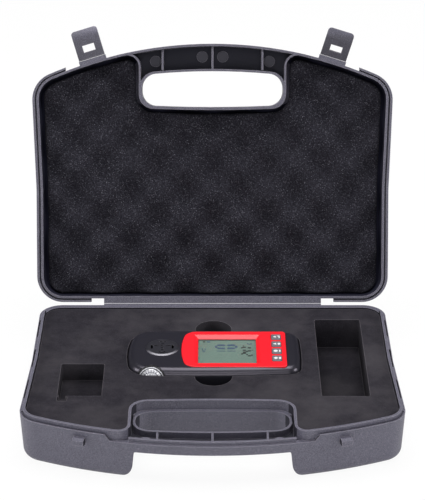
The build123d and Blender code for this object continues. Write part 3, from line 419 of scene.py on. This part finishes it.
def block_foam_finish():
    """Dense cut foam: matt, scuffed in patches, with a painted highlight on its soft corners and painted
    shade lower down in its pockets.
    """
    finish, tree, shader, place = begin("block_foam", 0.97, Specular_IOR_Level=0.1)
    fine = grain(tree, place, 0.9, 5, 0.75)
    mottle = grain(tree, place, 9, 4, 0.65)
    scuff = grain(tree, place, 60, 5, 0.6)
    specks = ((0.3, seen(36, 34, 39)), (0.52, seen(47, 45, 51)), (0.75, seen(63, 60, 67)))
    tint = ramp(tree, fine, specks)
    haze = ramp(tree, mottle, ((0.34, (0.72, 0.72, 0.74, 1)), (0.64, grey(1))))
    base = blended(tree, "MULTIPLY", 1.0, tint, haze)
    patches = ramp(tree, scuff, ((0.44, grey(0)), (0.7, grey(0.42))))
    base = blended(tree, "MIX", patches, base, seen(84, 81, 85))
    # Painted highlight on the foam's soft corners.
    corner_highlight = blended(tree, "MIX", edge_highlight_mask(tree, 0.9, 0.97, 0.75), base, seen(100, 96, 101))
    # Painted shade: the foam is made darker lower down, in its pockets.
    height = counted(tree, part_of(tree, place, "Z"), FOAM_SPAN)
    pocket_shade = ramp(tree, height, ((0.5, grey(0.66)), (0.66, grey(1))))
    tree.links.new(blended(tree, "MULTIPLY", 1.0, corner_highlight, pocket_shade), shader.inputs["Base Color"])
    raised(tree, shader, fine, 0.5, 0.2)
    return finish


def crate_foam_finish():
    """Open-cell foam: near black, sparkling where cell walls catch the light."""
    finish, tree, shader, place = begin("crate_foam", 0.95, Specular_IOR_Level=0.12)
    cells = tree.nodes.new("ShaderNodeTexVoronoi")
    cells.inputs["Scale"].default_value = 1000 / 0.95
    tree.links.new(place, cells.inputs["Vector"])
    fine = grain(tree, place, 1.1, 5, 0.8)
    specks = ((0.34, seen(18, 17, 22)), (0.52, seen(38, 37, 44)), (0.68, seen(74, 73, 82)))
    tint = ramp(tree, fine, specks)
    spark = ramp(tree, cells.outputs["Distance"], ((0.12, grey(1)), (0.34, grey(0))))
    lucky = ramp(tree, cells.outputs["Color"], ((0.58, grey(0)), (0.92, grey(0.9))))
    glint = blended(tree, "MULTIPLY", 1.0, spark, lucky)
    tree.links.new(blended(tree, "MIX", glint, tint, seen(158, 158, 168)), shader.inputs["Base Color"])
    raised(tree, shader, fine, 0.7, 0.4)
    return finish


# ---------------------------------------------------------------- meter finishes

def moulded(name, colour, roughness, grain_mm=0.5, contrast=0.08, strength=0.25, depth_mm=0.06,
            round_mm=0.35, **sockets):
    """Moulded plastic: fine grain, a little cloudiness, softened edges."""
    finish, tree, shader, place = begin(name, roughness, **sockets)
    fine = grain(tree, place, grain_mm, 4)
    cloud = grain(tree, place, 30, 2)
    specks = ((0.36, scaled(colour, 1 - contrast)), (0.64, scaled(colour, 1 + contrast)))
    tint = ramp(tree, fine, specks)
    haze = ramp(tree, cloud, ((0.3, grey(0.94)), (0.7, grey(1))))
    tree.links.new(blended(tree, "MULTIPLY", 1.0, tint, haze), shader.inputs["Base Color"])
    raised(tree, shader, fine, strength, depth_mm, round_mm)
    return finish


def pierced_finish():
    """Satin plastic with its slot walls painted near black as shade, and a painted highlight on the
    edges that fall towards the front.
    """
    finish, tree, shader, place = begin("grille_black", 0.34, Coat_Weight=0.2, Coat_Roughness=0.3)
    fine = grain(tree, place, 0.5, 3)
    tint = ramp(tree, fine, ((0.36, seen(36, 36, 42)), (0.64, seen(43, 42, 49))))
    lit = spread(tree, part_of(tree, rounded(tree, 0.22, 8), "Y"), -0.12, -0.45)
    upper = blended(tree, "MIX", lit, tint, seen(170, 167, 178))
    level = part_of(tree, place.node.outputs["Normal"], "Z")
    # Painted shade: faces that do not turn up, the slot walls, are made near black.
    slot_wall_shade = ramp(tree, level, ((0.3, grey(1)), (0.45, grey(0))))
    tree.links.new(blended(tree, "MIX", slot_wall_shade, upper, seen(4, 4, 5)), shader.inputs["Base Color"])
    tree.links.new(spread(tree, slot_wall_shade, 0, 1, 0.5, 0.05), shader.inputs["Specular IOR Level"])
    raised(tree, shader, fine, 0.15, 0.04, 0.3)
    return finish


def clear_finish(name, colour, alpha):
    """Thin clear plastic."""
    finish, tree, shader, place = begin(name, 0.06, Alpha=alpha)
    haze = ramp(tree, grain(tree, place, 12, 2), ((0.3, scaled(colour, 0.95)), (0.7, colour)))
    tree.links.new(haze, shader.inputs["Base Color"])
    raised(tree, shader, grain(tree, place, 4, 1), 0.03, 0.02, 0.15)
    return finish


def metal_finish(name, colour, roughness):
    """Bright metal with short streaks."""
    finish, tree, shader, place = begin(name, roughness, Metallic=1.0)
    turn = tree.nodes.new("ShaderNodeMapping")
    turn.inputs["Scale"].default_value = (8, 1, 1)
    tree.links.new(place, turn.inputs["Vector"])
    fine = grain(tree, turn.outputs["Vector"], 1.2, 3)
    tint = ramp(tree, fine, ((0.35, scaled(colour, 0.8)), (0.65, colour)))
    tree.links.new(tint, shader.inputs["Base Color"])
    raised(tree, shader, fine, 0.15, 0.02, 0.1)
    return finish


def round_the_lamp(tree, place):
    """Distance from the lamp's axis, with LAMP_SPAN as 1, and the angle round it."""
    offset = tree.nodes.new("ShaderNodeMapping")
    offset.inputs["Location"].default_value = -LAMP_CENTRE
    tree.links.new(place, offset.inputs["Vector"])
    across = vector_maths(tree, "DOT_PRODUCT", offset.outputs["Vector"], LAMP_ACROSS)
    down = vector_maths(tree, "DOT_PRODUCT", offset.outputs["Vector"], LAMP_DOWN)
    flat = tree.nodes.new("ShaderNodeCombineXYZ")
    tree.links.new(across, flat.inputs["X"])
    tree.links.new(down, flat.inputs["Y"])
    reach = vector_maths(tree, "LENGTH", flat.outputs["Vector"])
    return counted(tree, reach, LAMP_SPAN), maths(tree, "ARCTAN2", across, down)


def fluted(tree, angle, flutes):
    """A wave that goes round this many times."""
    crest = maths(tree, "SINE", maths(tree, "MULTIPLY", angle, flutes))
    return spread(tree, crest, -1, 1)


def lens_finish():
    """Clear fluted lens, silvered behind, with painted reflections: bright flutes and a dimmer ring; in
    a black collar with a painted highlight on its edge.
    """
    finish, tree, shader, place = begin("lens_clear", 0.08, Coat_Weight=0.5, Coat_Roughness=0.03)
    reach, angle = round_the_lamp(tree, place)
    flutes = fluted(tree, angle, 22)
    # Painted reflections: the flutes are coloured near white, mottled, with a dimmer ring further in.
    clear = ((0.15, seen(196, 196, 204)), (0.5, seen(232, 232, 238)), (0.85, seen(252, 252, 254)))
    glass = ramp(tree, flutes, clear)
    shade = ramp(tree, grain(tree, place, 2.2, 2, 0.6), ((0.36, (0.6, 0.6, 0.64, 1)), (0.6, grey(1))))
    glass = blended(tree, "MULTIPLY", 0.7, glass, shade)
    dim = (0.35, 0.35, 0.38, 1)
    dim_ring = ramp(tree, reach, ((0.3, grey(1)), (0.31, dim), (0.335, dim), (0.345, grey(1))))
    glass = blended(tree, "MULTIPLY", 1.0, glass, dim_ring)
    black = seen(18, 18, 21)
    # Painted highlight: a thin bright ring at the collar's edge.
    bright = seen(205, 205, 212)
    edge = ((0.0, black), (0.47, black), (0.48, bright), (0.5, bright), (0.51, seen(20, 20, 24)))
    collar = ramp(tree, reach, edge)
    glass_end = (LENS_REACH, LENS_REACH + 0.01)
    outside = step(tree, reach, *glass_end, grey(0), grey(1))
    tree.links.new(blended(tree, "MIX", outside, glass, collar), shader.inputs["Base Color"])
    silver = step(tree, reach, *glass_end, grey(0.4), grey(0))
    tree.links.new(silver, shader.inputs["Metallic"])
    tree.links.new(silver, shader.inputs["Coat Weight"])
    tree.links.new(step(tree, reach, *glass_end, grey(0.08), grey(0.6)), shader.inputs["Roughness"])
    raised(tree, shader, flutes, 0.35, 0.4)
    return finish


def reflector_finish():
    """Silvered reflector with flats round its axis."""
    finish, tree, shader, place = begin("bright_reflector", 0.14, Metallic=1.0)
    _, angle = round_the_lamp(tree, place)
    flats = fluted(tree, angle, 16)
    silver = ramp(tree, flats, ((0.1, seen(205, 205, 212)), (0.9, seen(250, 250, 252))))
    tree.links.new(silver, shader.inputs["Base Color"])
    raised(tree, shader, flats, 0.6, 0.6)
    return finish


def board_finish():
    """Solder mask with copper tracks showing through."""
    finish, tree, shader, place = begin("board_green", 0.35, Coat_Weight=0.3)
    tracks = tree.nodes.new("ShaderNodeTexBrick")
    tracks.inputs["Scale"].default_value = 260
    tracks.inputs["Color1"].default_value = seen(20, 92, 52)
    tracks.inputs["Color2"].default_value = seen(16, 80, 46)
    tracks.inputs["Mortar"].default_value = seen(48, 128, 80)
    tree.links.new(place, tracks.inputs["Vector"])
    tree.links.new(tracks.outputs["Color"], shader.inputs["Base Color"])
    raised(tree, shader, tracks.outputs["Fac"], 0.2, 0.04)
    return finish


def cell_finish():
    """Shrink-wrapped cells: dark sleeve with copper-coloured bands."""
    finish, tree, shader, place = begin("battery_wrap", 0.3, Coat_Weight=0.4)
    wave = tree.nodes.new("ShaderNodeTexWave")
    wave.bands_direction = "X"
    wave.inputs["Scale"].default_value = 14
    wave.inputs["Distortion"].default_value = 0.0
    tree.links.new(place, wave.inputs["Vector"])
    bands = ((0.2, seen(38, 40, 46)), (0.75, seen(44, 46, 52)), (0.8, seen(176, 116, 70)))
    tree.links.new(ramp(tree, wave.outputs["Fac"], bands), shader.inputs["Base Color"])
    raised(tree, shader, grain(tree, place, 2.5, 2), 0.1, 0.03, 0.15)
    return finish


# ---------------------------------------------------------------- finishes on the CAD nodes

def case_finishes():
    """The finishes of the case's own pieces."""
    lid_marks = [OPEN @ (Vector((x, HINGE_LINE.y / MM - s, PIN_FACE)) * MM) for x, s in PIN_MARKS]
    # Painted light and shade on the latches: lighter towards their curled tops, and the right latch,
    # turned from the light, darker overall.
    left_latch_shade = ((0.88, 0.52), (0.95, 0.66), (0.975, 0.85), (0.998, 1.5))
    right_latch_shade = ((0.88, 0.45), (0.95, 0.55), (0.975, 0.62), (0.99, 0.9))
    return {
        "hinge_web": case_finish("case_plastic"),
        # A shell's second colour is the painted shade of its inside.
        "base_shell": case_finish("base_plastic", BASE_MIDDLE * MM, seen(48, 47, 56)),
        "lid_shell": case_finish("lid_plastic", OPEN @ (LID_MIDDLE * MM), seen(36, 36, 50), lid_marks),
        "latch_left": case_finish("left_latch_plastic", height_shade=left_latch_shade),
        "latch_right": case_finish("right_latch_plastic", height_shade=right_latch_shade),
    }


def meter_finishes():
    """The finishes of the meter's pieces, outside and inside."""
    black = moulded("body_black", seen(37, 37, 43), 0.3, 0.45, 0.12, 0.15, 0.04, 0.4,
                    Coat_Weight=0.2, Coat_Roughness=0.3, Coat_Tint=(0.9, 0.82, 1, 1),
                    Specular_Tint=(0.93, 0.86, 1, 1))
    rubber = moulded("rubber_black", seen(32, 32, 34), 0.7, 0.8, 0.1, 0.3, 0.05)
    chips = moulded("chip_black", seen(34, 34, 36), 0.5, 0.6, 0.15, 0.2, 0.03, 0.1)
    steel = metal_finish("screw_steel", seen(165, 165, 168), 0.3)
    nickel = metal_finish("contact_nickel", seen(205, 203, 196), 0.25)
    keys = moulded("key_grey", seen(108, 106, 112), 0.45, 0.5, 0.07, 0.15, 0.04, 0.3)
    finishes = {
        "front_housing": black,
        "rear_housing": black,
        "battery_cover": black,
        "housing_seal": rubber,
        "face_bezel": moulded("bezel_red", seen(250, 30, 44), 0.32, 0.7, 0.04, 0.08, 0.02, 0.3),
        "display_window": clear_finish("display_clear", seen(190, 205, 198), 0.06),
        "display_glass": moulded("display_green", seen(100, 124, 114), 0.5, 0.35, 0.04, 0.05, 0.02),
        "display_backlight": moulded("light_guide", seen(235, 235, 230), 0.3, 1.5, 0.03, 0.05, 0.03),
        "display_frame": moulded("white_plastic", seen(226, 226, 222), 0.5, 0.8, 0.03, 0.1, 0.03),
        "display_connector": rubber,
        "circuit_board": board_finish(),
        "board_chips": chips,
        "key_switches": chips,
        "buzzer": chips,
        "sensor_grille": pierced_finish(),
        "sensor_gasket": rubber,
        "sensor_filter": moulded("filter_black", seen(12, 12, 14), 0.8, 0.5, 0.1, 0.3, 0.05),
        "sensor_cell": moulded("cell_grey", seen(150, 150, 154), 0.4, 0.7, 0.06, 0.1, 0.03),
        "lamp_lens": lens_finish(),
        "lamp_reflector": reflector_finish(),
        "lamp_led": moulded("lamp_white", seen(245, 240, 215), 0.25, 0.6, 0.03, 0.05, 0.02),
        "batteries": cell_finish(),
        "battery_contacts": nickel,
        "battery_springs": nickel,
        "battery_cover_screw": steel,
        "housing_screws": steel,
        "board_screws": steel,
    }
    for number in KEYS:
        finishes["button_%d" % number] = keys
    return finishes


def dress_nodes():
    """Give the CAD nodes of the case and the meter their finishes; the foams get pieces of their own."""
    for name, finish in {**case_finishes(), **meter_finishes()}.items():
        mesh = nodes[name].data
        mesh.materials.clear()
        mesh.materials.append(finish)


# ---------------------------------------------------------------- foam

def crate_height(x, y):
    """1 at a bump's top and 0 in a hollow of the egg-crate foam."""
    across = math.cos(math.pi * (x - CRATE_START[0]) / CRATE_HALF_PITCH[0])
    along = math.cos(math.pi * (y - CRATE_START[1]) / CRATE_HALF_PITCH[1])
    return 0.5 + 0.5 * across * along


def make_lid_foam(finish):
    """Egg-crate foam in the lid, shaped with the lid shut and then turned open."""
    foam = copy_of("lid_foam", "egg_crate_foam")
    foam.data.transform(SHUT)
    remesh = foam.modifiers.new("even", "REMESH")
    remesh.mode = "VOXEL"
    remesh.voxel_size = CRATE_CELL * MM
    bpy.ops.object.modifier_apply(modifier=remesh.name)
    for vertex in foam.data.vertices:
        x, y, z = (c / MM for c in vertex.co)
        if z < CRATE_BACK:
            sink = (1 - crate_height(x, y)) * CRATE_DEPTH / (CRATE_BACK - CRATE_PEAK)
            vertex.co.z = (CRATE_BACK - (CRATE_BACK - z) * (1 - sink)) * MM
    foam.data.transform(OPEN)
    pick(foam)
    bpy.ops.object.shade_smooth()
    foam.data.materials.append(finish)
    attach(foam, "lid")
    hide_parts("lid_foam")


def make_cut_foam(node, name, finish):
    """A cut foam block whose corners have gone soft."""
    foam = copy_of(node, name)
    bpy.ops.object.mode_set(mode="EDIT")
    bpy.ops.mesh.select_all(action="SELECT")
    bpy.ops.mesh.dissolve_limited(angle_limit=math.radians(1))
    bpy.ops.object.mode_set(mode="OBJECT")
    soft = foam.modifiers.new("soft", "BEVEL")
    soft.width = CUT_FOAM_SOFTNESS * MM
    soft.segments = 3
    soft.limit_method = "ANGLE"
    soft.angle_limit = math.radians(50)
    bpy.ops.object.modifier_apply(modifier=soft.name)
    bpy.ops.object.shade_smooth_by_angle(angle=math.radians(35))
    foam.data.materials.append(finish)
    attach(foam, "base")
    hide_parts(node)


# ---------------------------------------------------------------- display and keys

def thickened(piece, thick):
    """Turn a flat face that is open for editing into a thin solid."""
    bpy.ops.mesh.select_all(action="SELECT")
    bpy.ops.mesh.extrude_region_move(TRANSFORM_OT_translate={"value": (0, 0, thick * MM)})
    bpy.ops.mesh.select_all(action="SELECT")
    bpy.ops.mesh.normals_make_consistent(inside=False)
    bpy.ops.object.mode_set(mode="OBJECT")
    return piece


def bar(u, v, long_u, long_v, w, trim=0.3):
    """A flat bar with trimmed corners on the meter's face."""
    bpy.ops.object.select_all(action="DESELECT")
    bpy.ops.mesh.primitive_plane_add(size=1, location=on_meter(u, v, w))
    piece = bpy.context.view_layer.objects.active
    piece.scale = (long_u * MM, long_v * MM, 1)
    bpy.ops.object.transform_apply(location=True, rotation=True, scale=True)
    bpy.ops.object.mode_set(mode="EDIT")
    bpy.ops.mesh.select_all(action="SELECT")
    corner = trim * min(long_u, long_v) * MM
    bpy.ops.mesh.bevel(offset=corner, affect="VERTICES", segments=1)
    return thickened(piece, BAR_THICK)


def spot(u, v, radius, sides, w, turn):
    """A flat many-sided mark on a key."""
    bpy.ops.object.select_all(action="DESELECT")
    bpy.ops.mesh.primitive_circle_add(vertices=sides, radius=radius * MM, fill_type="NGON",
                                      location=on_meter(u, v, w), rotation=(0, 0, turn))
    piece = bpy.context.view_layer.objects.active
    bpy.ops.object.transform_apply(location=True, rotation=True, scale=True)
    bpy.ops.object.mode_set(mode="EDIT")
    return thickened(piece, SPOT_THICK)


def digit(value, u, v, tall, wide, stroke, w, lean=0.0):
    """A seven-segment digit whose top points to -u, with its lower left corner, as it is read, at u, v.

    Lean is how far its top stands to the right of its foot.
    """
    parts = []
    for name in SHOWN[value]:
        right, up, upright = SEGMENTS[name]
        at_u = u - up * tall
        at_v = v + right * wide + lean * (up - 0.5)
        if upright:
            parts.append(bar(at_u, at_v, tall / 2 - stroke * 0.7, stroke * 1.35, w))
        else:
            parts.append(bar(at_u, at_v, stroke, wide - stroke * 0.7, w))
    return parts


def make_display_marks(dark, faint):
    """What the liquid crystal display shows, with a painted shadow beside its faint 0."""
    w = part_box("display_glass")[1][2] / MM - METER_PLACE.z + DISPLAY_CLEARANCE
    reading = []
    for value, start in READING:
        reading += digit(value, 29.7, start, tall=7.8, wide=3.1, stroke=1.5, w=w, lean=2.0)
    reading += [bar(*row, w) for row in READING_BARS]
    marks = one_piece("display_reading", reading)
    faint_and_shadow_marks = digit(0, 17.4, 6.3, tall=15.8, wide=4.9, stroke=2.0, w=w)
    # The first two of these bars are a painted shadow of the faint 0.
    faint_and_shadow_marks += [bar(*row, w) for row in FAINT_AND_SHADOW_BARS]
    still = one_piece("faint_digit_and_shadow", faint_and_shadow_marks)
    for piece, finish in ((marks, dark), (still, faint)):
        piece.data.materials.append(finish)
        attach(piece, "meter")


def make_key_marks(finish):
    """A white sign on each key."""
    for number in KEYS:
        low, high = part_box("button_%d" % number)
        u = (low[0] + high[0]) / 2 / MM - METER_PLACE.x
        v = (low[1] + high[1]) / 2 / MM - METER_PLACE.y
        w = high[2] / MM - METER_PLACE.z + KEY_CLEARANCE
        along, radius, sides, turn = KEY_SPOTS[number]
        parts = [spot(u + along, v, radius, sides, w, turn)]
        for along, across, long_u, long_v, trim in KEY_BARS[number]:
            parts.append(bar(u + along, v + across, long_u, long_v, w, trim))
        sign = one_piece("key_sign_%d" % number, parts)
        sign.data.materials.append(finish)
        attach(sign, "button_%d" % number)


# ---------------------------------------------------------------- studio

def studio_surface(name, colour, own_light):
    """A pale surface that the camera, gloss and glass see as nearly white."""
    finish = bpy.data.materials.new(name)
    finish.use_nodes = True
    tree = finish.node_tree
    tree.nodes.clear()
    out = tree.nodes.new("ShaderNodeOutputMaterial")
    paint = tree.nodes.new("ShaderNodeBsdfDiffuse")
    paint.inputs["Color"].default_value = colour
    glow = tree.nodes.new("ShaderNodeEmission")
    glow.inputs["Strength"].default_value = 1.0
    path = tree.nodes.new("ShaderNodeLightPath")
    direct = maths(tree, "MAXIMUM", path.outputs["Is Camera Ray"], path.outputs["Is Glossy Ray"])
    direct = maths(tree, "MAXIMUM", direct, path.outputs["Is Transmission Ray"])
    mix = tree.nodes.new("ShaderNodeMixShader")
    tree.links.new(maths(tree, "MULTIPLY", direct, own_light), mix.inputs[0])
    tree.links.new(paint.outputs[0], mix.inputs[1])
    tree.links.new(glow.outputs[0], mix.inputs[2])
    tree.links.new(mix.outputs[0], out.inputs["Surface"])
    return finish


def make_floor():
    """A wide pale floor under the case."""
    put_down()
    bpy.ops.mesh.primitive_plane_add(size=FLOOR_WIDTH, location=(0, 0, 0))
    floor = take("studio_floor")
    floor.data.materials.append(studio_surface("pale_floor", grey(0.92), FLOOR_OWN_LIGHT))


def make_air():
    """White air behind the case, which lights it only faintly."""
    world = bpy.data.worlds.new("studio_air")
    bpy.context.scene.world = world
    world.use_nodes = True
    tree = world.node_tree
    tree.nodes.clear()
    out = tree.nodes.new("ShaderNodeOutputWorld")
    soft = tree.nodes.new("ShaderNodeBackground")
    soft.inputs["Color"].default_value = grey(1)
    soft.inputs["Strength"].default_value = AIR_LIGHT
    white = tree.nodes.new("ShaderNodeBackground")
    white.inputs["Color"].default_value = grey(1)
    white.inputs["Strength"].default_value = 1.0
    path = tree.nodes.new("ShaderNodeLightPath")
    mix = tree.nodes.new("ShaderNodeMixShader")
    tree.links.new(path.outputs["Is Camera Ray"], mix.inputs[0])
    tree.links.new(soft.outputs[0], mix.inputs[1])
    tree.links.new(white.outputs[0], mix.inputs[2])
    tree.links.new(mix.outputs[0], out.inputs["Surface"])


def make_light(name, place, aim, width, power):
    """A square soft light that faces its aim."""
    light = bpy.data.lights.new(name, "AREA")
    light.shape = "SQUARE"
    light.size = width
    light.energy = power
    holder = bpy.data.objects.new(name, light)
    bpy.context.scene.collection.objects.link(holder)
    holder.location = place
    holder.rotation_euler = (Vector(aim) - Vector(place)).to_track_quat("-Z", "Y").to_euler()


def make_camera():
    """A long lens in front of the case, looking down at it."""
    eye = bpy.data.cameras.new("camera")
    eye.sensor_width = 36.0
    eye.lens = CAMERA_LENS
    holder = bpy.data.objects.new("camera", eye)
    bpy.context.scene.collection.objects.link(holder)
    holder.location = CAMERA_PLACE
    holder.rotation_euler = (math.radians(90 - CAMERA_DIP), 0, 0)
    bpy.context.scene.camera = holder


# ---------------------------------------------------------------- all together

make_camera()
make_floor()
make_air()
for row in LIGHTS:
    make_light(*row)
dress_nodes()
block_foam = block_foam_finish()
make_lid_foam(crate_foam_finish())
make_cut_foam("foam_insert", "cut_foam_block", block_foam)
make_cut_foam("foam_bottom_pad", "cut_foam_pad", block_foam)
make_display_marks(
    moulded("display_ink", seen(8, 14, 16), 0.4, 0.6, 0.06, 0.05, 0.02),
    moulded("faint_ink_and_shadow", seen(46, 70, 98), 0.4, 0.6, 0.06, 0.05, 0.02),
)
make_key_marks(moulded("sign_white", seen(236, 236, 238), 0.45, 0.6, 0.02, 0.05, 0.02))
put_down()

bpy.context.scene.view_settings.view_transform = "Standard"
